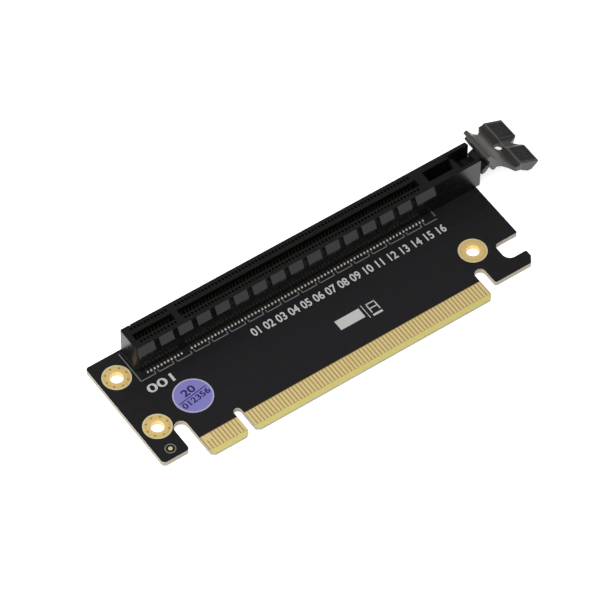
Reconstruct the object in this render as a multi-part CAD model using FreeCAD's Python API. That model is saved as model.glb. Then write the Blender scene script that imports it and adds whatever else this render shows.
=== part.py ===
import FreeCAD, Part
import math
import os

# PCIe riser card: an edge card that carries a card slot with a retention
# latch along its back edge.  All lengths are in millimetres.
#
# Frame: X = 0 at the middle of the key of both the card edge and the slot,
# +X towards the latch; Y = 0 on the slot centreline, -Y towards the card
# edge; Z = 0 on the underside of the board, +Z towards the slot opening.

# ---------------------------------------------------------------- dimensions

# Contact grid, shared by the card edge and the slot.
pitch = 1.0
key_to_first_contact = 1.5
power_count = 11
x1_count = 7
x4_count = 14
x8_count = 17
x16_count = 33

# Board.
board_thickness = 1.6
board_left = -23.6
board_right = 88.95
board_back = 4.9
left_leg_right = -15.85
left_leg_bottom = -29.65
left_notch_top = -21.2
tongue_margin = 0.65
tongue_tip = -34.05
tongue_chamfer = 1.0
key_width = 2.1
key_top = -25.9
right_notch_width = 3.0
right_notch_top = -24.9
right_leg_bottom = -30.8
hook_heel = 86.1
hook_tip = 87.45
hook_tip_bottom = -28.9
hook_lower = -26.9
hook_notch_depth = 5.75
hook_upper = -21.05
bevel_length = 1.25
bevel_depth = 0.44

# Copper.
copper = 0.05
finger_width = 0.7
finger_top = -28.35
finger_bottom = -32.75
joined_fingers = 3
joined_height = 1.6
hole_centres = [("left_back", -18.75, -1.77), ("left_front", -18.64, -19.63), ("right_front", 76.31, -19.46)]
hole_bore = 3.5
hole_ring = 7.5
hole_plating = 0.3
fiducial_x = -19.7
fiducial_y = -26.86
fiducial_diameter = 1.1

# Round paper label.
label_x = -6.36
label_y = -16.93
label_diameter = 10.26
label_thickness = 0.1

# Slot housing.
housing_left = -14.0
housing_right = 90.5
housing_half_width = 3.6
housing_standoff = 0.3
housing_height = 10.0
housing_corner = 0.5
end_block_length = 2.6
end_notch_width = 0.35
end_notch_depth = 0.25
end_front_corner = 1.0
end_back_corner = 0.3
slot_half_width = 0.95
slot_left = -12.4
slot_right = 72.7
slot_floor = 3.3
slot_key_half = 0.85
slot_lead_in = 0.35
pocket_width = 0.6
pocket_outer = 2.6
pocket_inner = 1.8
pocket_bar = 1.3
foot_length = 2.0
peg_diameter = 2.3
peg_clearance = 0.05
peg_positions = [-12.6, 80.0]

# Wedge blocks along both side walls.
wedge_count = 16
wedge_pitch = 5.5
wedge_gap = 1.5
first_gap = -8.15
wedge_left = -13.6
wedge_right = 75.4
wedge_out = 1.25
wedge_top_drop = 0.05
wedge_edge_drop = 2.2
wedge_lip = 0.9
wedge_under_drop = 1.6

# Hook recess and latch cavity.
recess_left = 75.4
recess_half_width = 1.7
cavity_length = 7.1
cavity_half_width = 2.6
cavity_sill_height = 6.3
cavity_sill_thickness = 1.2
tower_chamfer = 0.4

# Slot contacts and their solder.
contact_width = 0.42
contact_thickness = 0.2
contact_touch = 0.72
contact_foot_end = 4.45
solder_centre = 4.72
solder_width = 0.56
solder_length = 0.74
solder_height = 0.4
solder_crown = 0.55

# Retention latch, drawn open.  Its side points count in X from the pivot.
pivot_inset = 5.3
pivot_z = 8.4
pin_radius = 0.9
pin_clearance = 0.05
pin_end_clearance = 0.1
pin_hole_depth = 0.5
hub_clearance = 0.35
hub_radius = 1.2
web_half_width = 1.15
hook_half_width = 5.2
hook_waist = 0.15
hook_start = 4.8
hook_waist_start = 3.4
hook_length = 5.4
waist_length = 1.4
waist_half_width = 6.4
wing_flare = 1.0
wing_length = 7.2
wing_half_width = 7.95
pad_length = 5.25
pad_high = 8.1
pad_low = 5.75
pad_notch_half = 1.75
pad_notch_depth = 2.9
channel_half_width = 1.0
channel_depth = 0.45
channel_slope = 0.9
knurl_pitch = 0.85
knurl_depth = 0.24
knurl_border = 0.15
heel_half_width = 3.25
latch_hole_offset = 0.3
latch_hole_radius = 1.12
latch_counterbore = 1.8
latch_hole_wall = 1.3
saddle_length = 0.95
saddle_floor = 7.75
ridge_length = 0.35
ridge_height = 0.15
hook_side = [
    (5.55, 13.15), (5.9, 13.55), (6.5, 13.75), (7.7, 12.0), (8.4, 11.05), (9.4, 10.0),
    (10.5, 9.1), (11.6, 8.3), (12.7, 7.8),
]
rim_side = [(0.1, 5.2), (2.0, 3.6), (3.2, 3.7)]
under_side = [
    (14.2, 5.75), (11.6, 6.6), (8.7, 7.9), (8.1, 7.3), (7.2, 7.8), (6.6, 9.3), (5.95, 10.6),
    (6.65, 11.6), (5.8, 12.6),
]
web_side = [(1.8, 8.9), (5.1, 8.6), (6.7, 9.4), (8.4, 9.0), (8.2, 7.6), (5.8, 6.9)]
heel_side = [(5.65, 5.0), (6.5, 5.2), (7.6, 6.2), (8.1, 7.4), (7.1, 7.6), (5.65, 6.6)]

# ------------------------------------------------------------ derived values

top = board_thickness
housing_bottom = top + housing_standoff
housing_top = top + housing_height
tongue_left = -(key_to_first_contact + pitch * (power_count - 1)) - tongue_margin
contact_count = power_count + x1_count + x4_count + x8_count + x16_count
tongue_right = key_to_first_contact + pitch * (contact_count - power_count - 1) + tongue_margin
hook_inner = hook_tip - hook_notch_depth
cavity_left = housing_right - cavity_length
pivot_x = housing_right - pivot_inset
hook_left = pivot_x + hook_start
hook_middle = hook_left + hook_waist_start
waist_start = hook_left + hook_length
waist_end = waist_start + waist_length
wing_start = waist_end + wing_flare
latch_hole_x = wing_start + latch_hole_offset
latch_outer = wing_start + wing_length
pad_start = (latch_outer - pad_length, pad_high)
pad_end = (latch_outer, pad_low)


def lane_groups():
    """Name, first and last contact of every lane group."""
    groups = []
    first = 1
    counts = [("power", power_count), ("x1", x1_count), ("x4", x4_count),
              ("x8", x8_count), ("x16", x16_count)]
    for name, count in counts:
        groups.append((name, first, first + count - 1))
        first += count
    return groups


def contact_x(number):
    """X of contact `number`, counted from 1 at the short end."""
    if number <= power_count:
        return -key_to_first_contact - pitch * (power_count - number)
    return key_to_first_contact + pitch * (number - power_count - 1)


# ------------------------------------------------------------------- helpers

def vec(x, y, z):
    return FreeCAD.Vector(x, y, z)


def box(x0, x1, y0, y1, z0, z1):
    """Box between two corners."""
    return Part.makeBox(x1 - x0, y1 - y0, z1 - z0, vec(x0, y0, z0))


def cylinder(radius, height, base, axis=(0, 0, 1)):
    return Part.makeCylinder(radius, height, vec(*base), vec(*axis))


def prism_xy(points, z0, z1):
    """Straight prism over a polygon in the XY plane."""
    face = Part.Face(Part.makePolygon([vec(x, y, z0) for x, y in points + points[:1]]))
    return face.extrude(vec(0, 0, z1 - z0))


def prism_yz(points, x0, x1):
    """Straight prism along X over a polygon in the YZ plane."""
    face = Part.Face(Part.makePolygon([vec(x0, y, z) for y, z in points + points[:1]]))
    return face.extrude(vec(x1 - x0, 0, 0))


def prism_xz(points, y0, y1):
    """Straight prism along Y over a polygon in the XZ plane."""
    face = Part.Face(Part.makePolygon([vec(x, y0, z) for x, z in points + points[:1]]))
    return face.extrude(vec(0, y1 - y0, 0))


def rounded_outline(corners):
    """Closed wire in the XY plane through (x, y, radius) corners."""
    count = len(corners)
    joints = []
    for i, (x, y, radius) in enumerate(corners):
        here = vec(x, y, 0)
        before = vec(corners[i - 1][0], corners[i - 1][1], 0) - here
        after = vec(corners[(i + 1) % count][0], corners[(i + 1) % count][1], 0) - here
        before.normalize()
        after.normalize()
        half = before.getAngle(after) / 2
        reach = radius / math.tan(half)
        middle = before + after
        middle.normalize()
        bulge = here + middle * (radius / math.sin(half) - radius)
        joints.append((here + before * reach, bulge, here + after * reach, radius))
    edges = []
    for i, (start, bulge, end, radius) in enumerate(joints):
        if radius > 0:
            edges.append(Part.Arc(start, bulge, end).toShape())
        following = joints[(i + 1) % count][0]
        if (following - end).Length > 1e-6:
            edges.append(Part.makeLine(end, following))
    return Part.Wire(edges)


def frustum(low, high):
    """Solid with flat sides between two polygons of (x, y, z) points."""
    rings = [[vec(*p) for p in low], [vec(*p) for p in high]]
    faces = [Part.Face(Part.makePolygon(ring + ring[:1])) for ring in rings]
    for i in range(len(low)):
        j = (i + 1) % len(low)
        side = [rings[0][i], rings[0][j], rings[1][j], rings[1][i], rings[0][i]]
        faces.append(Part.Face(Part.makePolygon(side)))
    solid = Part.Solid(Part.Shell(faces))
    if solid.Volume < 0:
        solid.reverse()
    return solid


def strip_outline(points, thickness):
    """Polygon of a bent strip of even thickness around a centreline."""
    left = []
    right = []
    for i, (a, b) in enumerate(points):
        directions = []
        if i > 0:
            directions.append((a - points[i - 1][0], b - points[i - 1][1]))
        if i < len(points) - 1:
            directions.append((points[i + 1][0] - a, points[i + 1][1] - b))
        normals = [(-v / math.hypot(u, v), u / math.hypot(u, v)) for u, v in directions]
        na = sum(n[0] for n in normals) / len(normals)
        nb = sum(n[1] for n in normals) / len(normals)
        scale = thickness / 2 / (na * na + nb * nb)
        left.append((a + na * scale, b + nb * scale))
        right.append((a - na * scale, b - nb * scale))
    return left + right[::-1]


def mirror_y(shape):
    return shape.mirror(vec(0, 0, 0), vec(0, 1, 0))


def mirror_z(shape):
    """Copy of a feature on the other face of the board."""
    return shape.mirror(vec(0, 0, board_thickness / 2), vec(0, 0, 1))


def underside(shape):
    """Copy of a copper feature sunk flush into the underside of the board."""
    return shape.translated(vec(0, 0, -top))


def export(shape, node):
    shape.exportStep("parts/" + node + ".step")


# --------------------------------------------------------------------- board

def board_outline():
    right_notch = tongue_right + right_notch_width
    left_notch = (tongue_left - left_leg_right) / 2 - 0.001
    key = key_width / 2 - 0.001
    gap = right_notch_width / 2 - 0.001
    cut = tongue_chamfer
    return rounded_outline([
        (board_left, board_back, 0.8),
        (board_left, left_leg_bottom, 1.2),
        (left_leg_right, left_leg_bottom, 1.0),
        (left_leg_right, left_notch_top, left_notch),
        (tongue_left, left_notch_top, left_notch),
        (tongue_left, tongue_tip + cut, 0),
        (tongue_left + cut, tongue_tip, 0),
        (-key_width / 2 - cut, tongue_tip, 0),
        (-key_width / 2, tongue_tip + cut, 0),
        (-key_width / 2, key_top, key),
        (key_width / 2, key_top, key),
        (key_width / 2, tongue_tip + cut, 0),
        (key_width / 2 + cut, tongue_tip, 0),
        (tongue_right - cut, tongue_tip, 0),
        (tongue_right, tongue_tip + cut, 0),
        (tongue_right, right_notch_top, gap),
        (right_notch, right_notch_top, gap),
        (right_notch, right_leg_bottom, 0.6),
        (hook_heel, right_leg_bottom, 0.4),
        (hook_tip, hook_tip_bottom, 0.3),
        (hook_tip, hook_lower, 0.3),
        (hook_inner, hook_lower, 2.2),
        (hook_inner, hook_upper, 1.3),
        (board_right, hook_upper, 0.4),
        (board_right, board_back, 0),
    ])


def make_board():
    board = Part.Face(board_outline()).extrude(vec(0, 0, board_thickness))
    reach = tongue_tip + bevel_length
    low = [(tongue_tip, -1), (reach, -1), (reach, 0), (tongue_tip, bevel_depth)]
    bevel = prism_yz(low, tongue_left - 0.1, tongue_right + 0.1)
    cuts = [bevel, mirror_z(bevel)]
    cuts += [underside(finger) for finger in make_fingers(1, contact_count)]
    for _, x, y in hole_centres:
        cuts.append(cylinder(hole_bore / 2 + hole_plating, board_thickness + 2, (x, y, -1)))
        cuts.append(cylinder(hole_ring / 2, copper, (x, y, 0)))
    for x in peg_positions:
        cuts.append(cylinder(peg_diameter / 2 + peg_clearance, board_thickness + 2, (x, 0, -1)))
    return board.cut(cuts)


# -------------------------------------------------------------------- copper

def make_fingers(first, last):
    """Top-face contact fingers of one lane group."""
    solids = []
    for number in range(first, last + 1):
        x = contact_x(number)
        solids.append(box(x - finger_width / 2, x + finger_width / 2,
                          finger_bottom, finger_top, top, top + copper))
    if first == 1:
        left = contact_x(1) - finger_width / 2
        right = contact_x(joined_fingers) + finger_width / 2
        bridge = box(left, right, finger_top - joined_height, finger_top, top, top + copper)
        joined = bridge.fuse(solids[:joined_fingers]).removeSplitter()
        solids = joined.Solids + solids[joined_fingers:]
    return solids


def make_plated_hole(x, y):
    """Ring on both faces joined by the plated barrel."""
    inner = hole_bore / 2
    barrel = inner + hole_plating
    ring = hole_ring / 2
    points = [(inner, 0), (ring, 0), (ring, copper), (barrel, copper), (barrel, top),
              (ring, top), (ring, top + copper), (inner, top + copper)]
    wire = Part.makePolygon([vec(x + r, y, z) for r, z in points + points[:1]])
    return Part.Face(wire).revolve(vec(x, y, 0), vec(0, 0, 1), 360)


# ------------------------------------------------------------------- housing

def wedge_spans():
    """X limits of every wedge block along one side wall."""
    gaps = [first_gap + wedge_pitch * k for k in range(wedge_count - 1)]
    starts = [wedge_left] + [x + wedge_gap / 2 for x in gaps]
    ends = [x - wedge_gap / 2 for x in gaps] + [wedge_right]
    return list(zip(starts, ends))


def housing_body():
    c = housing_corner
    w = housing_half_width
    block = housing_left + end_block_length
    half = [(block, w), (housing_right - c, w), (housing_right, w - c)]
    whole = half + [(x, -y) for x, y in half[::-1]]
    body = prism_xy(whole, housing_bottom, housing_top)
    front = end_front_corner
    back = end_back_corner
    outline = [(housing_left, w - back), (housing_left + back, w), (block, w),
               (block, -w), (housing_left + front, -w), (housing_left, front - w)]
    end = prism_xy(outline, housing_bottom, housing_top)
    profile = [
        (w - 0.5, housing_top - wedge_top_drop),
        (w, housing_top - wedge_top_drop),
        (w + wedge_out, housing_top - wedge_edge_drop),
        (w + wedge_out - 0.05, housing_top - wedge_edge_drop - wedge_lip),
        (w, housing_top - wedge_under_drop),
        (w - 0.5, housing_top - wedge_under_drop),
    ]
    wedges = []
    for i, (x0, x1) in enumerate(wedge_spans()):
        wedge = prism_yz(profile, x0, x1)
        wedges.append(mirror_y(wedge))
        if i > 0:
            wedges.append(wedge)
    feet = []
    for x in [housing_left + 1, (housing_left + housing_right) / 2, housing_right - 1 - foot_length]:
        feet.append(box(x, x + foot_length, -1.2, 1.2, top, housing_bottom))
    pegs = []
    for x in peg_positions:
        pegs.append(cylinder(peg_diameter / 2, housing_bottom - 0.1, (x, 0, 0.1)))
    return body.fuse([end] + wedges + feet + pegs)


def housing_cuts():
    w = slot_half_width
    above = housing_top + 1
    lead = slot_lead_in
    cuts = []
    for x0, x1 in [(slot_left, -slot_key_half), (slot_key_half, slot_right)]:
        cuts.append(box(x0, x1, -w, w, slot_floor, above))
        profile = [(-w, housing_top - lead), (w, housing_top - lead), (w + lead, housing_top),
                   (w + lead, above), (-w - lead, above), (-w - lead, housing_top)]
        cuts.append(prism_yz(profile, x0, x1))
    pocket = [
        (w - 0.2, slot_floor),
        (pocket_inner, slot_floor),
        (pocket_inner, housing_bottom - 1),
        (pocket_outer, housing_bottom - 1),
        (pocket_outer, above),
        (pocket_inner, above),
        (pocket_inner, housing_top - pocket_bar),
        (w - 0.2, housing_top - pocket_bar),
    ]
    for number in range(1, contact_count + 1):
        x = contact_x(number)
        cut = prism_yz(pocket, x - pocket_width / 2, x + pocket_width / 2)
        cuts += [cut, mirror_y(cut)]
    cuts.append(box(recess_left, cavity_left, -recess_half_width, recess_half_width, slot_floor, above))
    sill = housing_right - cavity_sill_thickness
    cuts.append(box(cavity_left, sill, -cavity_half_width, cavity_half_width, slot_floor, above))
    cuts.append(box(sill, housing_right + 1, -cavity_half_width, cavity_half_width,
                    cavity_sill_height, above))
    reach = cavity_half_width + pin_hole_depth
    cuts.append(cylinder(pin_radius + pin_clearance, 2 * reach, (pivot_x, -reach, pivot_z), (0, 1, 0)))
    block = housing_left + end_block_length
    cuts.append(box(block, block + end_notch_width, housing_half_width - end_notch_depth,
                    housing_half_width + 1, housing_bottom - 1, above))
    t = tower_chamfer
    edge = [(housing_right - t, housing_top), (housing_right, housing_top - t),
            (housing_right + 1, housing_top - t), (housing_right + 1, above), (housing_right - t, above)]
    cuts.append(prism_xz(edge, -housing_half_width - 1, housing_half_width + 1))
    return cuts


def make_housing():
    return housing_body().cut(Part.makeCompound(housing_cuts()))


# ------------------------------------------------------------------ contacts

def contact_outline():
    """Bent spring strip in the YZ plane, foot outside, touch point inside."""
    t = contact_thickness
    middle = (pocket_inner + pocket_outer) / 2
    line = [
        (contact_foot_end, top + t / 2),
        (middle + 0.25, top + t / 2),
        (middle, top + t / 2 + 0.25),
        (middle, slot_floor + 1.2),
        (contact_touch + t / 2 + 0.1, housing_top - 4.2),
        (contact_touch + t / 2, housing_top - 3.6),
        (contact_touch + t / 2 + 0.2, housing_top - 3.0),
        (middle, housing_top - 1.2),
        (middle, housing_top - 0.5),
    ]
    return strip_outline(line, t)


def make_contacts(first, last):
    """Slot contacts of one lane group, on the back (+Y) row."""
    outline = contact_outline()
    half = contact_width / 2
    return [prism_yz(outline, contact_x(n) - half, contact_x(n) + half) for n in range(first, last + 1)]


def make_solder():
    """Solder fillets at the feet of the back row of contacts."""
    steps = [math.pi * (k + 0.5) / 4 for k in range(8)]
    solids = []
    for number in range(1, contact_count + 1):
        x = contact_x(number)
        rings = []
        for scale, z in ((1.0, top), (1.0, top + solder_height / 2), (solder_crown, top + solder_height)):
            a = solder_width / 2 * scale
            b = solder_length / 2 * scale
            rings.append([(x + a * math.cos(t), solder_centre + b * math.sin(t), z) for t in steps])
        drop = frustum(rings[0], rings[1]).fuse(frustum(rings[1], rings[2])).removeSplitter()
        solids.append(drop)
    return solids


# --------------------------------------------------------------------- latch

def knurl_cuts():
    """V grooves along and across both pads, in a grid down their slope."""
    (x0, z0), (x1, z1) = pad_start, pad_end
    run = math.hypot(x1 - x0, z1 - z0)
    along = vec((x1 - x0) / run, 0, (z1 - z0) / run)
    out = vec(-along.z, 0, along.x)
    start = vec(x0, 0, z0) + along * knurl_border
    half = knurl_pitch / 2
    inner = channel_half_width + channel_slope + knurl_border
    rows = int((run - 2 * knurl_border) / knurl_pitch)
    columns = int((wing_half_width - knurl_border - inner) / knurl_pitch)
    lift = out * 0.02
    deep = out * -knurl_depth
    cuts = []
    for k in range(rows):
        middle = start + along * (knurl_pitch * (k + 0.5))
        corners = [middle - along * half + lift, middle + deep, middle + along * half + lift]
        groove = prism_xz([(c.x, c.z) for c in corners], inner, inner + columns * knurl_pitch)
        cuts += [groove, mirror_y(groove)]
    for k in range(columns):
        middle = start + vec(0, inner + knurl_pitch * (k + 0.5), 0)
        corners = [middle - vec(0, half, 0) + lift, middle + deep, middle + vec(0, half, 0) + lift]
        groove = Part.Face(Part.makePolygon(corners + corners[:1])).extrude(along * (rows * knurl_pitch))
        cuts += [groove, mirror_y(groove)]
    return cuts


def from_pivot(points):
    """Side points of the latch, moved from the pivot to their place."""
    return [(pivot_x + x, z) for x, z in points]


def latch_side():
    """Side profile of hook, saddle and pads."""
    x, z = pad_start
    saddle = [(x - saddle_length, saddle_floor), (x - ridge_length, z + ridge_height)]
    rim = [(latch_outer - back, z) for back, z in rim_side]
    return from_pivot(hook_side) + saddle + [pad_start, pad_end] + rim + from_pivot(under_side)


def latch_head():
    """Hook, saddle and thumb wings cut from one side profile."""
    reach = wing_half_width + 1
    body = prism_xz(latch_side(), -reach, reach)
    half = [(hook_left, hook_half_width), (hook_middle, hook_half_width - hook_waist),
            (waist_start, hook_half_width), (waist_end, waist_half_width),
            (wing_start, wing_half_width), (latch_outer, wing_half_width)]
    plan = prism_xy(half + [(x, -y) for x, y in half[::-1]], 0, housing_height * 2)
    head = body.common(plan)
    tip = latch_outer - pad_notch_depth
    slope = pad_notch_half / pad_notch_depth
    notch = [(tip, 0), (latch_outer + 1, -slope * (pad_notch_depth + 1)),
             (latch_outer + 1, slope * (pad_notch_depth + 1))]
    head = head.cut(prism_xy(notch, 0, housing_height * 2))
    (x0, z0), (x1, z1) = pad_start, pad_end
    fall = (z1 - z0) / (x1 - x0)
    left = x0 - 1.6
    right = x1 + 1
    rings = []
    mouth = channel_half_width + 2 * channel_slope
    for half_width, lift in ((channel_half_width, -channel_depth), (mouth, channel_depth)):
        ring = []
        for x, y in ((left, -half_width), (right, -half_width), (right, half_width), (left, half_width)):
            ring.append((x, y, z0 + fall * (x - x0) + lift))
        rings.append(ring)
    head = head.cut(frustum(rings[0], rings[1]))
    head = head.cut(knurl_cuts())
    floor = saddle_floor - latch_hole_wall
    head = head.cut(cylinder(latch_counterbore, floor, (latch_hole_x, 0, 0)))
    return head.cut(cylinder(latch_hole_radius, 12, (latch_hole_x, 0, 0)))


def latch_stem():
    """Hub with the two pivot pins, web to the hook and the heel under it."""
    side = cavity_half_width - hub_clearance
    r = hub_radius
    arm = from_pivot([(0, pivot_z - r), (0, pivot_z + r)] + web_side)
    stem = prism_xz(arm, -web_half_width, web_half_width)
    stem = stem.fuse(cylinder(r, 2 * side, (pivot_x, -side, pivot_z), (0, 1, 0)))
    pin = cavity_half_width + pin_hole_depth - pin_end_clearance
    pins = cylinder(pin_radius, 2 * pin, (pivot_x, -pin, pivot_z), (0, 1, 0))
    heel = prism_xz(from_pivot(heel_side), -heel_half_width, heel_half_width)
    return stem.fuse([pins, heel])


def make_latch():
    return latch_head().fuse(latch_stem()).removeSplitter()


# -------------------------------------------------------------------- export

def main():
    os.makedirs("parts", exist_ok=True)
    export(make_board(), "board")
    for name, first, last in lane_groups():
        fingers = make_fingers(first, last)
        export(Part.makeCompound(fingers), "fingers_top_" + name)
        export(Part.makeCompound([underside(f) for f in fingers]), "fingers_bottom_" + name)
        contacts = make_contacts(first, last)
        export(Part.makeCompound(contacts), "contacts_back_" + name)
        export(Part.makeCompound([mirror_y(c) for c in contacts]), "contacts_front_" + name)
    for name, x, y in hole_centres:
        export(make_plated_hole(x, y), "plated_hole_" + name)
    export(cylinder(fiducial_diameter / 2, copper, (fiducial_x, fiducial_y, top)), "fiducial_pad")
    export(cylinder(label_diameter / 2, label_thickness, (label_x, label_y, top)), "round_label")
    solder = make_solder()
    export(Part.makeCompound(solder), "solder_back")
    export(Part.makeCompound([mirror_y(s) for s in solder]), "solder_front")
    export(make_housing(), "slot_housing")
    export(make_latch(), "retention_latch")


main()
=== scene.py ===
"""Looks of a PCIe riser card: board, gold fingers, card slot, latch, printed marks and studio."""

import logging
import math
from dataclasses import dataclass
from enum import Enum

import bpy
from mathutils import Matrix, Vector


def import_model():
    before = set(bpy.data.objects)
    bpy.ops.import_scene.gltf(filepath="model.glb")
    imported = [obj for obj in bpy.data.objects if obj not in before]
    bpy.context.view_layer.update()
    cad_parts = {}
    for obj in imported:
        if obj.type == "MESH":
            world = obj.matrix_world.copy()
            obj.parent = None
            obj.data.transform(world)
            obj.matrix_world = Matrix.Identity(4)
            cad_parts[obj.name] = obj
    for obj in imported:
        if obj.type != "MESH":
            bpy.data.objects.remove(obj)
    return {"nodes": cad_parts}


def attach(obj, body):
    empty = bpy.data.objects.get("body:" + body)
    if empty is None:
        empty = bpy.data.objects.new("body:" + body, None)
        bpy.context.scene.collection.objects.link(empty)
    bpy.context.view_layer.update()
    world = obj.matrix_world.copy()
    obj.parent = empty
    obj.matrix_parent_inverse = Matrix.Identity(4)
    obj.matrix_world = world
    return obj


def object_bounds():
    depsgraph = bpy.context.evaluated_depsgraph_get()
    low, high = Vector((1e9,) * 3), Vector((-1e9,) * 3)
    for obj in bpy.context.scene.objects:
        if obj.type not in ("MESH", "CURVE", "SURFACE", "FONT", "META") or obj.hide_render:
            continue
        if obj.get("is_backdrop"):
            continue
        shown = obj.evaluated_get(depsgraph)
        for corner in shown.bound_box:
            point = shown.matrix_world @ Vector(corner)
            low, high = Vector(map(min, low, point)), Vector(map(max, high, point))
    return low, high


LOG = logging.getLogger("riser_card")
MM = 0.001
BOARD_TOP = 1.6  # millimetres from the underside
INK_HEIGHT = 0.02  # millimetres of screen-printed ink
GRAIN_DETAIL = 3.0
GRAIN_STRENGTH = 0.6

Colour = tuple[float, float, float, float]
Corner = tuple[float, float, float]
ShaderTree = bpy.types.Material | bpy.types.World


# ------------------------------------------------------------------ helpers

def linear(code: str) -> Colour:
    """Turns an sRGB hex code into a linear colour.

    Args:
        code: A hash and six hex digits.

    Returns:
        Linear red, green and blue, and a full alpha.
    """
    parts = [int(code[i:i + 2], 16) / 255 for i in (1, 3, 5)]
    red, green, blue = [c / 12.92 if c <= 0.04045 else ((c + 0.055) / 1.055) ** 2.4 for c in parts]
    return red, green, blue, 1.0


def add_node(
    material: ShaderTree,
    kind: str,
    settings: dict[str | int, object] | None = None,
    links: dict[str | int, bpy.types.NodeSocket] | None = None,
) -> bpy.types.Node:
    """Adds a shader node, sets it up and links its inputs.

    Args:
        material: Material or world that gets the node.
        kind: Node type, such as ShaderNodeMath.
        settings: Attribute names or input names and indices to their values.
        links: Input names or indices to the output sockets that feed them.

    Returns:
        The new node.
    """
    node = material.node_tree.nodes.new(kind)
    for key, value in (settings or {}).items():
        if isinstance(key, str) and hasattr(node, key):
            setattr(node, key, value)
        else:
            node.inputs[key].default_value = value
    for key, socket in (links or {}).items():
        material.node_tree.links.new(socket, node.inputs[key])
    return node


def deselect() -> None:
    """Leaves object mode with nothing selected."""
    if bpy.context.object and bpy.context.object.mode != "OBJECT":
        bpy.ops.object.mode_set(mode="OBJECT")
    bpy.ops.object.select_all(action="DESELECT")


def settle(piece: bpy.types.Object) -> bpy.types.Object:
    """Puts the piece's place into its mesh, so that the object sits at the origin.

    Args:
        piece: The piece to settle.

    Returns:
        The same piece.
    """
    deselect()
    piece.select_set(True)
    bpy.context.view_layer.objects.active = piece
    bpy.ops.object.transform_apply(location=True, rotation=True, scale=True)
    return piece


def join(pieces: list[bpy.types.Object], name: str) -> bpy.types.Object:
    """Joins meshes into one named piece.

    Args:
        pieces: Meshes to join.
        name: Name of the result.

    Returns:
        The joined piece, settled at the origin.
    """
    deselect()
    for piece in pieces:
        piece.select_set(True)
    bpy.context.view_layer.objects.active = pieces[0]
    if len(pieces) > 1:
        bpy.ops.object.join()
    joined = bpy.context.view_layer.objects.active
    joined.name = name
    joined.data.name = name
    return settle(joined)


def slab(low: Corner, high: Corner) -> bpy.types.Object:
    """Adds a box between two corners.

    Args:
        low: Its lower left front corner in millimetres.
        high: Its upper right back corner in millimetres.

    Returns:
        The new mesh object, not settled yet.
    """
    deselect()
    centre = [(a + b) / 2 * MM for a, b in zip(low, high)]
    bpy.ops.mesh.primitive_cube_add(size=1, location=centre)
    box = bpy.context.object
    box.scale = [(b - a) * MM for a, b in zip(low, high)]
    return box


def disc(
    centre: Corner, radius: float, height: float, hole: float = 0.0, sides: int = 48,
) -> bpy.types.Object:
    """Adds a flat disc or, with a hole, a flat ring.

    Args:
        centre: Middle of the lower face in millimetres.
        radius: Outer radius in millimetres.
        height: Thickness in millimetres.
        hole: Inner radius in millimetres, or 0 for a full disc.
        sides: Number of sides.

    Returns:
        The new mesh object, not settled yet.
    """
    deselect()
    place = (centre[0] * MM, centre[1] * MM, (centre[2] + height / 2) * MM)
    bpy.ops.mesh.primitive_cylinder_add(
        vertices=sides, radius=radius * MM, depth=height * MM, location=place)
    part = bpy.context.object
    if hole > 0:
        bpy.ops.object.mode_set(mode="EDIT")
        bpy.ops.mesh.select_mode(type="FACE")
        bpy.ops.mesh.select_all(action="DESELECT")
        bpy.ops.object.mode_set(mode="OBJECT")
        for face in part.data.polygons:
            face.select = abs(face.normal.z) > 0.5
        bpy.ops.object.mode_set(mode="EDIT")
        bpy.ops.mesh.inset(thickness=(radius - hole) * MM)
        bpy.ops.mesh.bridge_edge_loops()
        bpy.ops.object.mode_set(mode="OBJECT")
    return part


# ----------------------------------------------------------------- finishes

@dataclass(frozen=True)
class Finish:
    """A named surface finish that builds its own material."""

    name: str

    def start(self) -> tuple[bpy.types.Material, bpy.types.Node]:
        """Makes an empty material with one Principled shader.

        Returns:
            The material and its shader node.
        """
        material = bpy.data.materials.new(self.name)
        material.use_nodes = True
        material.node_tree.nodes.clear()
        shader = add_node(material, "ShaderNodeBsdfPrincipled")
        add_node(material, "ShaderNodeOutputMaterial", links={"Surface": shader.outputs["BSDF"]})
        return material, shader

    def build(self) -> bpy.types.Material:
        """Builds the material; each finish has its own."""
        raise NotImplementedError


@dataclass(frozen=True)
class GrainedFinish(Finish):
    """A plain solid or metal with fine colour and roughness grain."""

    colour: str
    second: str
    roughness: float
    metallic: float = 0.0
    grain_mm: float = 0.5
    bump_mm: float = 0.004
    spread: float = 0.08

    def build(self) -> bpy.types.Material:
        """Mixes two close colours by noise at the grain size.

        Returns:
            The finished material.
        """
        material, shader = self.start()
        place = add_node(material, "ShaderNodeTexCoord")
        grain = add_node(
            material, "ShaderNodeTexNoise",
            {"Scale": 1 / (self.grain_mm * MM), "Detail": GRAIN_DETAIL},
            {"Vector": place.outputs["Object"]})
        mix = add_node(
            material, "ShaderNodeMix",
            {"data_type": "RGBA", 6: linear(self.colour), 7: linear(self.second)},
            {0: grain.outputs["Fac"]})
        rough = add_node(
            material, "ShaderNodeMapRange",
            {"To Min": self.roughness - self.spread, "To Max": self.roughness + self.spread},
            {"Value": grain.outputs["Fac"]})
        bump = add_node(
            material, "ShaderNodeBump", {"Strength": GRAIN_STRENGTH, "Distance": self.bump_mm * MM},
            {"Height": grain.outputs["Fac"]})
        shader.inputs["Metallic"].default_value = self.metallic
        tree = material.node_tree
        tree.links.new(mix.outputs[2], shader.inputs["Base Color"])
        tree.links.new(rough.outputs["Result"], shader.inputs["Roughness"])
        tree.links.new(bump.outputs["Normal"], shader.inputs["Normal"])
        return material


# Gold flash over nickel: pale warm yellow with a soft sheen.
GOLD = GrainedFinish("gold_flash_plating", "#fde6aa", "#f2d896", 0.4, metallic=0.3, grain_mm=0.9)
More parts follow.
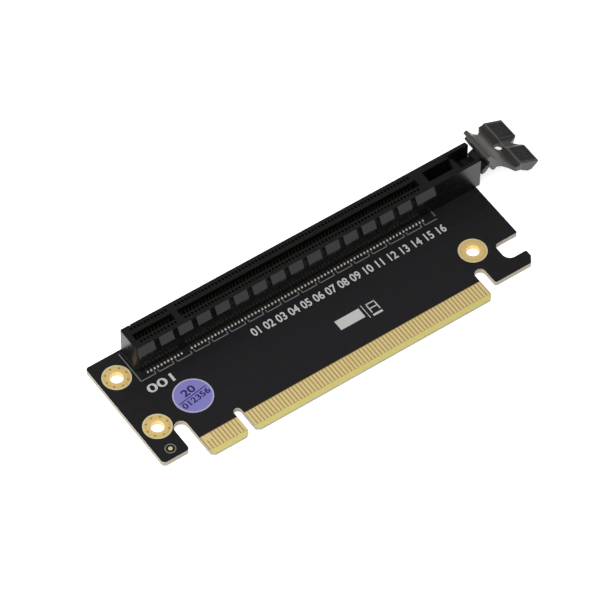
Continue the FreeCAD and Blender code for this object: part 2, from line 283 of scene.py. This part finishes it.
# Glass-filled nylon, moulded against polished steel: black with a clear gloss.
HOUSING = GrainedFinish(
    "moulded_gloss_nylon", "#0c0c0d", "#111113", 0.27, grain_mm=2.5, bump_mm=0.006, spread=0.04)
# Printed vinyl label: flat lavender, with a paler unprinted rim.
LABEL = GrainedFinish("vinyl_label", "#807bc0", "#8a85c9", 0.5, grain_mm=0.7)
LABEL_RIM = GrainedFinish("vinyl_label_rim", "#b1b0cc", "#bdbcd6", 0.5, grain_mm=0.7)
# Ink on the label: dark navy.
LABEL_INK = GrainedFinish("label_ink", "#1d1d55", "#24245f", 0.5, grain_mm=0.4)
# Spring bronze deep in the slot, darkened to a dull brown gold: partly its own colour, partly painted
# shade for the dark inside the slot.
SHADED_CONTACT = GrainedFinish("spring_bronze_with_painted_shade", "#5a4e37", "#483e2b", 0.4, metallic=0.8, grain_mm=0.4)
# Reflowed solder: dull silver grey.
SOLDER = GrainedFinish("reflowed_solder", "#d2d2ce", "#bcbcb9", 0.4, metallic=0.5, grain_mm=0.3)
# Screen-printed epoxy ink: off-white and matt, and greyer in thin lines.
SILK = GrainedFinish("screen_printed_ink", "#cfcfcd", "#bfbfbc", 0.6, grain_mm=0.25)
SILK_FAINT = GrainedFinish("thin_screen_printed_ink", "#7f7f7c", "#6c6c69", 0.6, grain_mm=0.25)
# Plated via barrels seen from above: darker olive gold.
VIA = GrainedFinish("plated_via", "#c6a765", "#b09055", 0.45, metallic=0.4, grain_mm=0.2)


class Zone(Enum):
    """A stretch of a surface: its place in millimetres and its colour."""

    @property
    def at(self) -> float:
        """Place in millimetres."""
        return self.value[0]

    @property
    def colour(self) -> Colour:
        """Linear colour."""
        return linear(self.value[1])


class RingZone(Zone):
    """Zones of a plated ring, each by its outer radius."""

    BORE = (2.03, "#f8e2a2")
    LAND = (3.0, "#fbdb90")
    GROOVE = (3.3, "#f0cb7c")
    SHOULDER = (3.5, "#f8dc98")
    RIM = (4.0, "#f4e9bd")


@dataclass(frozen=True)
class RingFinish(Finish):
    """Gold plating of one mounting hole: a blotchy land with a paler rolled rim."""

    x: float
    y: float
    blotch_mm: float = 0.6
    drift_mm: float = 0.12
    rim_from_mm: float = 3.62
    speck_share: float = 0.35
    metallic: float = 0.3
    roughness: float = 0.4

    def build(self) -> bpy.types.Material:
        """Colours the plating by the distance from the hole's axis.

        Returns:
            The finished material.
        """
        material, shader = self.start()
        tree = material.node_tree
        place = add_node(material, "ShaderNodeTexCoord")
        flat = add_node(
            material, "ShaderNodeVectorMath", {"operation": "MULTIPLY", 1: (1, 1, 0)},
            {0: place.outputs["Object"]})
        away = add_node(
            material, "ShaderNodeVectorMath",
            {"operation": "DISTANCE", 1: (self.x * MM, self.y * MM, 0)},
            {0: flat.outputs[0]})
        blot = add_node(
            material, "ShaderNodeTexNoise",
            {"Scale": 1 / (self.blotch_mm * MM), "Detail": GRAIN_DETAIL},
            {"Vector": place.outputs["Object"]})
        drift = add_node(
            material, "ShaderNodeMapRange",
            {"To Min": -self.drift_mm * MM, "To Max": self.drift_mm * MM},
            {"Value": blot.outputs["Fac"]})
        reach = add_node(
            material, "ShaderNodeMath", {"operation": "ADD"},
            {0: away.outputs["Value"], 1: drift.outputs["Result"]})
        span = add_node(
            material, "ShaderNodeMath", {"operation": "DIVIDE", 1: RingZone.RIM.at * MM},
            {0: reach.outputs[0]})
        ramp = add_node(material, "ShaderNodeValToRGB", links={0: span.outputs[0]})
        stops = ramp.color_ramp.elements
        stops[0].position = 0.0
        stops[0].color = RingZone.BORE.colour
        stops[1].position = 1.0
        stops[1].color = RingZone.RIM.colour
        start = RingZone.BORE.at
        for zone in (RingZone.LAND, RingZone.GROOVE, RingZone.SHOULDER):
            stop = stops.new((start + zone.at) / 2 / RingZone.RIM.at)
            stop.color = zone.colour
            start = zone.at
        edge = stops.new(self.rim_from_mm / RingZone.RIM.at)
        edge.color = RingZone.RIM.colour
        shade = add_node(
            material, "ShaderNodeMix",
            {"data_type": "RGBA", "blend_type": "MULTIPLY", 0: self.speck_share},
            {6: ramp.outputs["Color"]})
        speck = add_node(
            material, "ShaderNodeMapRange",
            {"From Min": 0.35, "From Max": 0.6, "To Min": 0.75, "To Max": 1.0},
            {"Value": blot.outputs["Fac"]})
        grey = add_node(
            material, "ShaderNodeCombineColor",
            links={0: speck.outputs["Result"], 1: speck.outputs["Result"], 2: speck.outputs["Result"]})
        tree.links.new(grey.outputs[0], shade.inputs[7])
        tree.links.new(shade.outputs[2], shader.inputs["Base Color"])
        shader.inputs["Metallic"].default_value = self.metallic
        shader.inputs["Roughness"].default_value = self.roughness
        return material


class LatchShading(Zone):
    """Painted light and shade along the latch, by where each stretch begins or ends: a lit slope,
    painted shade in the valley, a painted highlight on the ridge, and darker pads that are partly
    painted shade.
    """

    LIT_SLOPE = (90.0, "#45423f")
    LIT_SLOPE_END = (95.8, "#4b4845")
    VALLEY_SHADE = (97.2, "#35322f")
    VALLEY_SHADE_END = (99.15, "#312e2c")
    RIDGE_HIGHLIGHT = (99.4, "#504d49")
    RIDGE_HIGHLIGHT_END = (99.7, "#4b4845")
    SHADED_PADS = (99.9, "#292726")


@dataclass(frozen=True)
class LatchFinish(Finish):
    """Nylon with painted light and shade: a near-black stem that paints the shade inside the housing's
    cavity, a lighter saddle and darker thumb pads.

    The stem ends along a slanted line, where X plus `lean` times Z is `dark_until`.
    """

    lean: float = 0.54
    dark_until: float = 97.55
    # Near-black stem colour: painted shade for the housing's cavity it sits in.
    stem: str = "#0d0d0e"
    grain_mm: float = 0.35
    bump_mm: float = 0.008
    smoothest: float = 0.3
    roughest: float = 0.42

    def build(self) -> bpy.types.Material:
        """Paints light and shade along the latch as colour zones.

        Returns:
            The finished material.
        """
        material, shader = self.start()
        tree = material.node_tree
        place = add_node(material, "ShaderNodeTexCoord")
        axes = add_node(material, "ShaderNodeSeparateXYZ", links={0: place.outputs["Object"]})
        grain = add_node(
            material, "ShaderNodeTexNoise",
            {"Scale": 1 / (self.grain_mm * MM), "Detail": GRAIN_DETAIL},
            {"Vector": place.outputs["Object"]})
        first, last = LatchShading.LIT_SLOPE.at, LatchShading.SHADED_PADS.at
        along = add_node(
            material, "ShaderNodeMapRange", {"From Min": first * MM, "From Max": last * MM},
            {"Value": axes.outputs["X"]})
        # Painted light and shade along the head: a lit slope, a shaded valley, a ridge highlight and
        # darker pads.
        head = add_node(material, "ShaderNodeValToRGB", links={0: along.outputs["Result"]})
        stops = head.color_ramp.elements
        stops[0].color = LatchShading.LIT_SLOPE.colour
        stops[1].color = LatchShading.SHADED_PADS.colour
        for zone in list(LatchShading)[1:-1]:
            stop = stops.new((zone.at - first) / (last - first))
            stop.color = zone.colour
        slant = add_node(
            material, "ShaderNodeMath", {"operation": "MULTIPLY_ADD", 1: self.lean},
            {0: axes.outputs["Z"], 2: axes.outputs["X"]})
        hook = add_node(
            material, "ShaderNodeMath", {"operation": "GREATER_THAN", 1: self.dark_until * MM},
            {0: slant.outputs[0]})
        # Painted shade: below the slanted line the stem turns near-black; above it the head keeps its
        # painted light and shade.
        body = add_node(
            material, "ShaderNodeMix", {"data_type": "RGBA", 6: linear(self.stem)},
            {0: hook.outputs[0], 7: head.outputs["Color"]})
        rough = add_node(
            material, "ShaderNodeMapRange", {"To Min": self.smoothest, "To Max": self.roughest},
            {"Value": grain.outputs["Fac"]})
        bump = add_node(
            material, "ShaderNodeBump", {"Strength": GRAIN_STRENGTH, "Distance": self.bump_mm * MM},
            {"Height": grain.outputs["Fac"]})
        tree.links.new(body.outputs[2], shader.inputs["Base Color"])
        tree.links.new(rough.outputs["Result"], shader.inputs["Roughness"])
        tree.links.new(bump.outputs["Normal"], shader.inputs["Normal"])
        return material


@dataclass(frozen=True)
class BoardFinish(Finish):
    """Solder mask on both faces, bare laminate between the fingers and on cut edges.

    Copper tracks under the mask show as faint stripes across the tongue's width.
    """

    bare_from: float
    mask: str = "#151315"
    mask_second: str = "#1b191c"
    trace: str = "#1d1a1e"
    laminate: str = "#a0894c"
    bevel: str = "#d6cb7a"
    edge: str = "#b9b2a0"
    tongue_left: float = -12.15
    tongue_right: float = 72.15
    grain_mm: float = 1.5
    grain_detail: float = 4.0
    track_pitch: float = 1.0
    track_from: float = 0.39
    flat_above: float = 0.98
    upright_below: float = 0.5
    smoothest: float = 0.36
    roughest: float = 0.5
    ior: float = 1.42

    def build(self) -> bpy.types.Material:
        """Zones the surface by where it lies on the board and which way it faces.

        Returns:
            The finished material.
        """
        material, shader = self.start()
        tree = material.node_tree
        place = add_node(material, "ShaderNodeTexCoord")
        axes = add_node(material, "ShaderNodeSeparateXYZ", links={0: place.outputs["Object"]})
        facing = add_node(material, "ShaderNodeNewGeometry")
        normal = add_node(material, "ShaderNodeSeparateXYZ", links={0: facing.outputs["True Normal"]})
        level = add_node(
            material, "ShaderNodeMath", {"operation": "ABSOLUTE"}, {0: normal.outputs["Z"]})
        grain = add_node(
            material, "ShaderNodeTexNoise",
            {"Scale": 1 / (self.grain_mm * MM), "Detail": self.grain_detail},
            {"Vector": place.outputs["Object"]})
        mask = add_node(
            material, "ShaderNodeMix",
            {"data_type": "RGBA", 6: linear(self.mask), 7: linear(self.mask_second)},
            {0: grain.outputs["Fac"]})
        comb = add_node(
            material, "ShaderNodeMath", {"operation": "PINGPONG", 1: self.track_pitch / 2 * MM},
            {0: axes.outputs["X"]})
        run = add_node(
            material, "ShaderNodeMath", {"operation": "GREATER_THAN", 1: self.track_from * MM},
            {0: comb.outputs[0]})
        traced = add_node(
            material, "ShaderNodeMix", {"data_type": "RGBA", 7: linear(self.trace)},
            {0: run.outputs[0], 6: mask.outputs[2]})
        bare = add_node(
            material, "ShaderNodeMath", {"operation": "LESS_THAN", 1: self.bare_from * MM},
            {0: axes.outputs["Y"]})
        right = add_node(
            material, "ShaderNodeMath", {"operation": "LESS_THAN", 1: self.tongue_right * MM},
            {0: axes.outputs["X"]})
        left = add_node(
            material, "ShaderNodeMath", {"operation": "GREATER_THAN", 1: self.tongue_left * MM},
            {0: axes.outputs["X"]})
        span = add_node(
            material, "ShaderNodeMath", {"operation": "MULTIPLY"},
            {0: right.outputs[0], 1: left.outputs[0]})
        zone = add_node(
            material, "ShaderNodeMath", {"operation": "MULTIPLY"},
            {0: span.outputs[0], 1: bare.outputs[0]})
        covered = add_node(
            material, "ShaderNodeMix", {"data_type": "RGBA"},
            {0: span.outputs[0], 6: mask.outputs[2], 7: traced.outputs[2]})
        top = add_node(
            material, "ShaderNodeMix", {"data_type": "RGBA", 7: linear(self.laminate)},
            {0: zone.outputs[0], 6: covered.outputs[2]})
        slope = add_node(
            material, "ShaderNodeMath", {"operation": "LESS_THAN", 1: self.flat_above},
            {0: level.outputs[0]})
        bevel = add_node(
            material, "ShaderNodeMix", {"data_type": "RGBA", 7: linear(self.bevel)},
            {0: slope.outputs[0], 6: top.outputs[2]})
        upright = add_node(
            material, "ShaderNodeMath", {"operation": "LESS_THAN", 1: self.upright_below},
            {0: level.outputs[0]})
        side = add_node(
            material, "ShaderNodeMix", {"data_type": "RGBA", 7: linear(self.edge)},
            {0: upright.outputs[0], 6: bevel.outputs[2]})
        tree.links.new(side.outputs[2], shader.inputs["Base Color"])
        rough = add_node(
            material, "ShaderNodeMapRange", {"To Min": self.smoothest, "To Max": self.roughest},
            {"Value": grain.outputs["Fac"]})
        tree.links.new(rough.outputs["Result"], shader.inputs["Roughness"])
        shader.inputs["IOR"].default_value = self.ior
        return material


# ------------------------------------------------------------- sub-assemblies

def dress(piece: bpy.types.Object, material: bpy.types.Material) -> None:
    """Gives a piece one material in place of its own."""
    piece.data.materials.clear()
    piece.data.materials.append(material)


def finish_piece(piece: bpy.types.Object, material: bpy.types.Material) -> None:
    """Gives a new piece its material, lets it ride on the card and logs its faces.

    Args:
        piece: The new piece.
        material: Material it gets.
    """
    dress(piece, material)
    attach(piece, "card")
    LOG.info("%s: %d faces", piece.name, len(piece.data.polygons))


class Hole(Enum):
    """Centres of the mounting holes in millimetres."""

    LEFT_BACK = (-18.75, -1.77)
    LEFT_FRONT = (-18.64, -19.63)
    RIGHT_FRONT = (76.31, -19.46)

    @property
    def label(self) -> str:
        """Name of the hole as the nodes spell it."""
        return self.name.lower()


@dataclass
class Card:
    """The board with its copper, solder and slot parts, all from the CAD nodes."""

    nodes: dict[str, bpy.types.Object]
    bare_from: float = -28.15

    def dress(self) -> None:
        """Gives every CAD node its finish, by how its name starts."""
        gold = GOLD.build()
        finishes = {
            "fingers_": gold,
            "fiducial_pad": gold,
            "contacts_": SHADED_CONTACT.build(),
            "solder_": SOLDER.build(),
            "slot_housing": HOUSING.build(),
            "retention_latch": LatchFinish("nylon_with_painted_light_and_shade").build(),
            "round_label": LABEL.build(),
            "board": BoardFinish("solder_mask_on_glass_laminate", self.bare_from).build(),
        }
        for hole in Hole:
            ring = RingFinish("ring_" + hole.label, *hole.value)
            finishes["plated_hole_" + hole.label] = ring.build()
        for start, material in finishes.items():
            names = [name for name in self.nodes if name.startswith(start)]
            for name in names:
                dress(self.nodes[name], material)
            LOG.info("%s: %d nodes dressed", start, len(names))


@dataclass
class SlotLegend:
    """Printed outline of the slot on the board: end lines and brackets between the solder rows."""

    line: float = 0.25
    left: float = -14.4
    right: float = 75.0
    front: float = -6.15
    left_back: float = 3.9
    right_back: float = -3.4
    tick: float = 0.85
    pitch: float = 5.35
    gap: float = 1.0
    count: int = 17

    def bar(self, x0: float, x1: float, y0: float, y1: float) -> bpy.types.Object:
        """Adds one printed bar."""
        return slab((x0, y0, BOARD_TOP), (x1, y1, BOARD_TOP + INK_HEIGHT))

    def build(self) -> bpy.types.Object:
        """Builds all the bars as one piece.

        Returns:
            The printed outline.
        """
        h = self.line / 2
        bars = [self.bar(self.left - h, self.left + h, self.front - h, self.left_back)]
        for index in range(self.count):
            start = self.left + self.pitch * index
            end = self.left + self.pitch * (index + 1) - self.gap
            if index == self.count - 1:
                end = self.right
            bars.append(self.bar(start, end, self.front - h, self.front + h))
            if index:
                bars.append(self.bar(start - h, start + h, self.front, self.front + self.tick))
            bars.append(self.bar(end - h, end + h, self.front, self.front + self.tick))
        bars.append(self.bar(self.right - h, self.right + h, self.front, self.right_back))
        return join(bars, "slot_legend")


@dataclass
class PrintedNumber:
    """A run of plain digits lying flat on a surface."""

    name: str
    digits: str
    left: float
    base: float
    height: float
    level: float
    width: float
    weight: float = 0.0
    turn: float = 0.0
    ink: float = INK_HEIGHT
    half_depth: float = 0.01

    def build(self) -> bpy.types.Object:
        """Sets the digits, thickens their strokes and fits them to their width.

        Returns:
            The digits as one mesh.
        """
        deselect()
        bpy.ops.object.text_add(location=(0, 0, 0))
        text = bpy.context.object
        text.data.body = self.digits
        text.data.size = 1.0
        text.data.offset = self.weight
        text.data.extrude = self.half_depth
        text.data.resolution_u = 4
        bpy.context.view_layer.update()
        bpy.ops.object.convert(target="MESH")
        piece = bpy.context.object
        xs = [v.co.x for v in piece.data.vertices]
        ys = [v.co.y for v in piece.data.vertices]
        wide, tall = max(xs) - min(xs), max(ys) - min(ys)
        thick = 2 * self.half_depth
        shift = Matrix.Translation((-min(xs), -min(ys), self.half_depth))
        size = Matrix.Diagonal(
            (self.width / wide * MM, self.height / tall * MM, self.ink / thick * MM, 1))
        turn = Matrix.Rotation(math.radians(self.turn), 4, "Z")
        place = Matrix.Translation((self.left * MM, self.base * MM, self.level * MM))
        piece.data.transform(place @ turn @ size @ shift)
        piece.name = self.name
        piece.data.name = self.name
        return piece


@dataclass
class BoardMarks:
    """Printed digits and plain blocks on the board."""

    lanes: int = 16
    blocks: tuple[tuple[float, float, float, float], ...] = (
        # Left, right, front and back of a block and a bar, a divider, then a frame and its rung.
        (35.0, 42.3, -21.1, -18.0), (44.2, 47.0, -22.1, -21.5),
        (43.1, 43.3, -22.0, -17.6),
        (44.3, 44.6, -21.0, -17.9), (46.7, 47.0, -21.0, -17.9), (44.3, 47.0, -18.3, -18.0),
        (44.6, 46.7, -19.8, -19.5),
    )

    def build(self) -> list[bpy.types.Object]:
        """Builds the digit rows and the blocks.

        Returns:
            The printed pieces.
        """
        lanes = " ".join(f"{lane:02d}" for lane in range(1, self.lanes + 1))
        rows = [
            PrintedNumber("lane_numbers", lanes, 16.2, -10.65, 2.55, BOARD_TOP, 58.8, weight=0.018),
            PrintedNumber("slot_number", "001", -14.6, -10.6, 2.6, BOARD_TOP, 7.5, weight=0.015),
        ]
        pieces = [row.build() for row in rows]
        blocks = [
            slab((left, front, BOARD_TOP), (right, back, BOARD_TOP + INK_HEIGHT))
            for left, right, front, back in self.blocks
        ]
        return pieces + [join(blocks, "plain_marks")]


@dataclass
class RoundLabel:
    """Print on the round label: a pale rim, a rule and two rows of plain digits."""

    x: float = -6.36
    y: float = -16.93
    radius: float = 5.13
    rim_width: float = 0.35
    level: float = 1.7
    ink: float = 0.015
    turn: float = 8.0
    weight: float = 0.022
    rule_half: float = 4.3
    rule_front: float = 0.1
    rule_back: float = 0.35

    def rim(self) -> bpy.types.Object:
        """Builds the pale rim.

        Returns:
            A flat ring on the label.
        """
        inner = self.radius - self.rim_width
        rim = disc((self.x, self.y, self.level), self.radius, self.ink, hole=inner, sides=96)
        rim.name = "label_rim"
        return settle(rim)

    def row(self, name: str, digits: str, place: tuple[float, float], height: float,
            width: float) -> bpy.types.Object:
        """Builds one row of digits.

        Args:
            name: Name of the piece.
            digits: What it shows.
            place: Its lower left corner from the label's middle, along the turned rows.
            height: Height of the digits in millimetres.
            width: Length of the row in millimetres.

        Returns:
            The digits.
        """
        u, v = place
        c, s = math.cos(math.radians(self.turn)), math.sin(math.radians(self.turn))
        x, y = self.x + u * c - v * s, self.y + u * s + v * c
        number = PrintedNumber(
            name, digits, x, y, height, self.level, width, self.weight, self.turn, self.ink)
        return number.build()

    def rule(self) -> bpy.types.Object:
        """Builds the line between the rows.

        Returns:
            A thin bar across the label.
        """
        rule = settle(slab((-self.rule_half, self.rule_front, self.level),
                           (self.rule_half, self.rule_back, self.level + self.ink)))
        rule.data.transform(Matrix.Translation((self.x * MM, self.y * MM, 0))
                            @ Matrix.Rotation(math.radians(self.turn), 4, "Z"))
        rule.name = "label_rule"
        return rule

    def build(self) -> tuple[bpy.types.Object, list[bpy.types.Object]]:
        """Builds the rim and the ink.

        Returns:
            The rim, and the inked pieces.
        """
        rim = self.rim()
        inked = [
            self.row("label_digits_upper", "20", (-1.9, 0.75), 2.2, 3.8),
            self.row("label_digits_lower", "012356", (-4.2, -2.0), 1.8, 8.4),
            self.rule(),
        ]
        return rim, inked


@dataclass
class ViaRing:
    """Small plated vias around one mounting hole."""

    name: str
    x: float
    y: float
    top: float = 1.65
    radius: float = 2.87
    via: float = 0.3
    height: float = 0.01
    count: int = 8

    def build(self) -> bpy.types.Object:
        """Copies one via around the hole.

        Returns:
            All the vias as one piece.
        """
        dots = []
        for index in range(self.count):
            angle = 2 * math.pi * index / self.count
            x = self.x + self.radius * math.cos(angle)
            y = self.y + self.radius * math.sin(angle)
            dots.append(disc((x, y, self.top), self.via, self.height, sides=14))
        return join(dots, self.name)


@dataclass
class Fiducial:
    """Printed ring round the fiducial dot."""

    x: float = -19.7
    y: float = -26.86
    outer: float = 1.45
    inner: float = 1.15

    def build(self) -> bpy.types.Object:
        """Builds the printed ring.

        Returns:
            A flat ring on the board.
        """
        ring = disc((self.x, self.y, BOARD_TOP), self.outer, INK_HEIGHT, hole=self.inner, sides=64)
        ring.name = "fiducial_ring"
        return settle(ring)


# ------------------------------------------------------------------- studio

@dataclass
class Studio:
    """Pale floor, soft lights and the surrounding white.

    The sweep fades between two heights of a mirrored ray's direction, so gloss sees white paper
    below and a dim room above.
    """

    floor_level: float
    floor_middle: tuple[float, float] = (0.03, 0.0)
    floor_half: float = 1.5
    fill: float = 0.22
    glow: float = 0.7
    sweep_low: float = 0.18
    sweep_high: float = 0.27
    key_power: float = 5.6
    left_share: float = 0.4
    aim: Corner = (0.03, -0.01, 0.0)

    def floor(self) -> None:
        """Builds the floor; seen directly it is a clean white that keeps soft shadows."""
        deselect()
        bpy.ops.mesh.primitive_plane_add(
            size=2 * self.floor_half, location=(*self.floor_middle, self.floor_level))
        plane = bpy.context.object
        plane.name = "studio_floor"
        material = bpy.data.materials.new("white_sweep_paper")
        material.use_nodes = True
        material.node_tree.nodes.clear()
        place = add_node(material, "ShaderNodeTexCoord")
        grain = add_node(
            material, "ShaderNodeTexNoise", {"Scale": 40.0}, {"Vector": place.outputs["Object"]})
        tone = add_node(
            material, "ShaderNodeMix",
            {"data_type": "RGBA", 6: linear("#f4f4f4"), 7: linear("#f6f6f6")},
            {0: grain.outputs["Fac"]})
        paper = add_node(material, "ShaderNodeBsdfDiffuse", links={"Color": tone.outputs[2]})
        rays = add_node(material, "ShaderNodeLightPath")
        glow = add_node(material, "ShaderNodeEmission", {"Color": (1, 1, 1, 1), "Strength": self.glow})
        lit = add_node(material, "ShaderNodeAddShader", links={0: paper.outputs[0], 1: glow.outputs[0]})
        seen = add_node(
            material, "ShaderNodeMixShader",
            links={0: self.backdrop(material, rays), 1: paper.outputs[0], 2: lit.outputs[0]})
        add_node(material, "ShaderNodeOutputMaterial", links={"Surface": seen.outputs[0]})
        plane.data.materials.append(material)
        plane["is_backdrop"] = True

    def backdrop(self, material: ShaderTree, rays: bpy.types.Node) -> bpy.types.NodeSocket:
        """Tells the rays that should meet the white backdrop: seen, mirrored or passed through.

        Args:
            material: Material or world that gets the nodes.
            rays: Its Light Path node.

        Returns:
            The socket that is 1 for those rays.
        """
        mirrored = add_node(
            material, "ShaderNodeMath", {"operation": "MAXIMUM"},
            {0: rays.outputs["Is Glossy Ray"], 1: rays.outputs["Is Transmission Ray"]})
        if isinstance(material, bpy.types.World):
            way = add_node(material, "ShaderNodeTexCoord")
            axes = add_node(material, "ShaderNodeSeparateXYZ", links={0: way.outputs["Generated"]})
            low = add_node(
                material, "ShaderNodeMapRange",
                {"From Min": self.sweep_low, "From Max": self.sweep_high, "To Min": 1.0, "To Max": 0.0},
                {"Value": axes.outputs["Z"]})
            mirrored = add_node(
                material, "ShaderNodeMath", {"operation": "MULTIPLY"},
                {0: mirrored.outputs[0], 1: low.outputs["Result"]})
        either = add_node(
            material, "ShaderNodeMath", {"operation": "MAXIMUM"},
            {0: rays.outputs["Is Camera Ray"], 1: mirrored.outputs[0]})
        return either.outputs[0]

    def lamp(self, name: str, place: Corner, size: float, power: float) -> None:
        """Adds a square soft light that faces the card.

        Args:
            name: Name of the light.
            place: Where it stands, in metres.
            size: Side length in metres.
            power: Power in watts.
        """
        deselect()
        bpy.ops.object.light_add(type="AREA", location=place)
        light = bpy.context.object
        light.name = name
        light.data.size = size
        light.data.energy = power
        light.rotation_euler = (Vector(self.aim) - Vector(place)).to_track_quat("-Z", "Y").to_euler()

    def world(self) -> None:
        """Sets an even surround: white to the eye, softer as light."""
        world = bpy.data.worlds.new("studio_surround")
        bpy.context.scene.world = world
        world.use_nodes = True
        world.node_tree.nodes.clear()
        rays = add_node(world, "ShaderNodeLightPath")
        soft = add_node(world, "ShaderNodeBackground", {"Color": (1, 1, 1, 1), "Strength": self.fill})
        white = add_node(world, "ShaderNodeBackground", {"Color": (1, 1, 1, 1), "Strength": 1.0})
        mix = add_node(
            world, "ShaderNodeMixShader",
            links={0: self.backdrop(world, rays), 1: soft.outputs[0], 2: white.outputs[0]})
        add_node(world, "ShaderNodeOutputWorld", links={"Surface": mix.outputs[0]})

    def build(self) -> None:
        """Builds floor, lights and surround."""
        self.floor()
        self.lamp("overhead_softbox", (-0.25, -0.3, 0.85), 0.6, self.key_power)
        self.lamp("left_softbox", (-0.7, -0.1, 0.4), 0.5, self.key_power * self.left_share)
        self.world()


@dataclass
class Viewpoint:
    """The camera, by the direction it looks from; angles in degrees, lengths in metres."""

    azimuth: float = -35.292
    elevation: float = 53.028
    distance: float = 1.15975
    roll: float = 0.633
    lens_mm: float = 280.38
    sensor_mm: float = 36.0
    clip_start: float = 0.01
    target: Corner = (0.03188, -0.00765, 0.0016)

    def build(self) -> None:
        """Places the camera and makes it the scene's own."""
        a, e, r = (math.radians(angle) for angle in (self.azimuth, self.elevation, self.roll))
        back = Vector((math.sin(a) * math.cos(e), -math.cos(a) * math.cos(e), math.sin(e)))
        right = (-back).cross(Vector((0, 0, 1))).normalized()
        up = right.cross(-back)
        turned = right * math.cos(r) + up * math.sin(r)
        upright = up * math.cos(r) - right * math.sin(r)
        camera = bpy.data.objects.new("camera", bpy.data.cameras.new("camera"))
        bpy.context.scene.collection.objects.link(camera)
        camera.data.lens = self.lens_mm
        camera.data.sensor_width = self.sensor_mm
        camera.data.clip_start = self.clip_start
        camera.location = Vector(self.target) + back * self.distance
        camera.rotation_euler = Matrix((turned, upright, back)).transposed().to_euler()
        bpy.context.scene.camera = camera
        bpy.context.scene.view_settings.view_transform = "Standard"


# --------------------------------------------------------------------- main

def main() -> None:
    """Builds the looks in order and reports each piece."""
    logging.basicConfig(level=logging.INFO, format="%(name)s %(message)s")
    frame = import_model()
    cad_box = [list(corner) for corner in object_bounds()]
    Card(frame["nodes"]).dress()
    silk, faint, ink = SILK.build(), SILK_FAINT.build(), LABEL_INK.build()
    finish_piece(SlotLegend().build(), faint)
    for piece in BoardMarks().build():
        finish_piece(piece, silk)
    rim, inked = RoundLabel().build()
    finish_piece(rim, LABEL_RIM.build())
    for piece in inked:
        finish_piece(piece, ink)
    via = VIA.build()
    for hole in (Hole.LEFT_BACK, Hole.LEFT_FRONT):
        finish_piece(ViaRing(hole.label + "_vias", *hole.value).build(), via)
    finish_piece(Fiducial().build(), faint)
    Studio(floor_level=cad_box[0][2]).build()
    Viewpoint().build()


if __name__ == "__main__":
    main()
